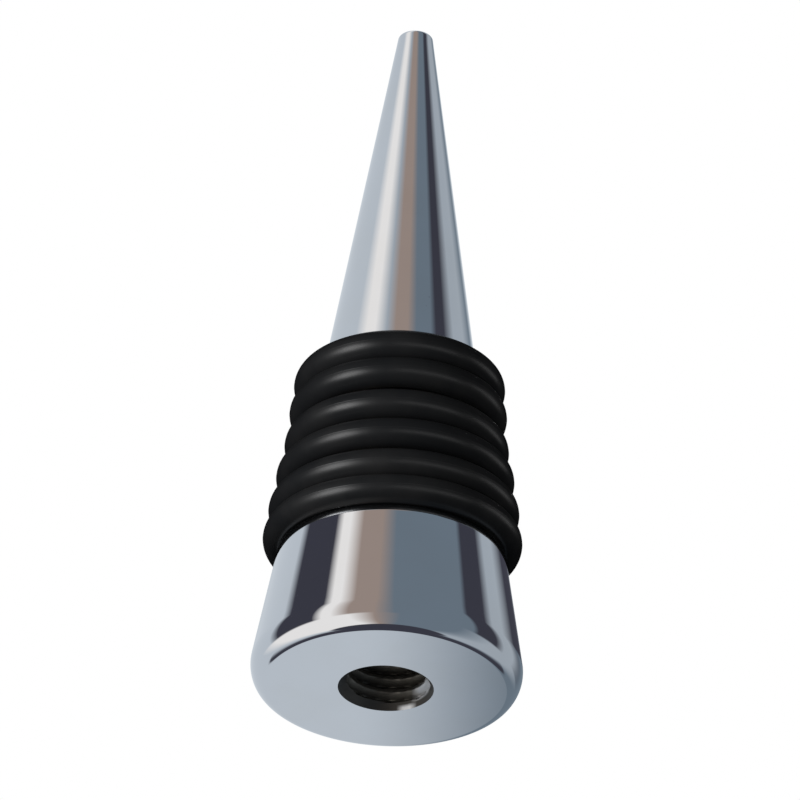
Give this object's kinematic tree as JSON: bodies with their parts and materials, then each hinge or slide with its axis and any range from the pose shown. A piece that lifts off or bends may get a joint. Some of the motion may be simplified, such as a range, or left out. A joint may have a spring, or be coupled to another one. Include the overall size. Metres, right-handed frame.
{
  "type": "bottle stopper",
  "caption": "Tapered chrome bottle stopper with graded black rubber sealing rings and a tapped hole in its wide end for a knob.",
  "frame": {"origin": "centre of the flat end face, where the tapped hole opens", "axes": "+Z along the plug's axis, from the flat end face to the tip; X and Y are free, because the plug is round"},
  "size_m": [0.023, 0.023, 0.0647],
  "materials": {
    "chrome": "polished, lightly scuffed",
    "rubber": "matte with a soft sheen"
  },
  "bodies": {
    "root": {"plug_body": "chrome", "o_ring_1": "rubber", "o_ring_2": "rubber", "o_ring_3": "rubber", "o_ring_4": "rubber", "o_ring_5": "rubber", "o_ring_6": "rubber"}
  },
  "joints": []
}
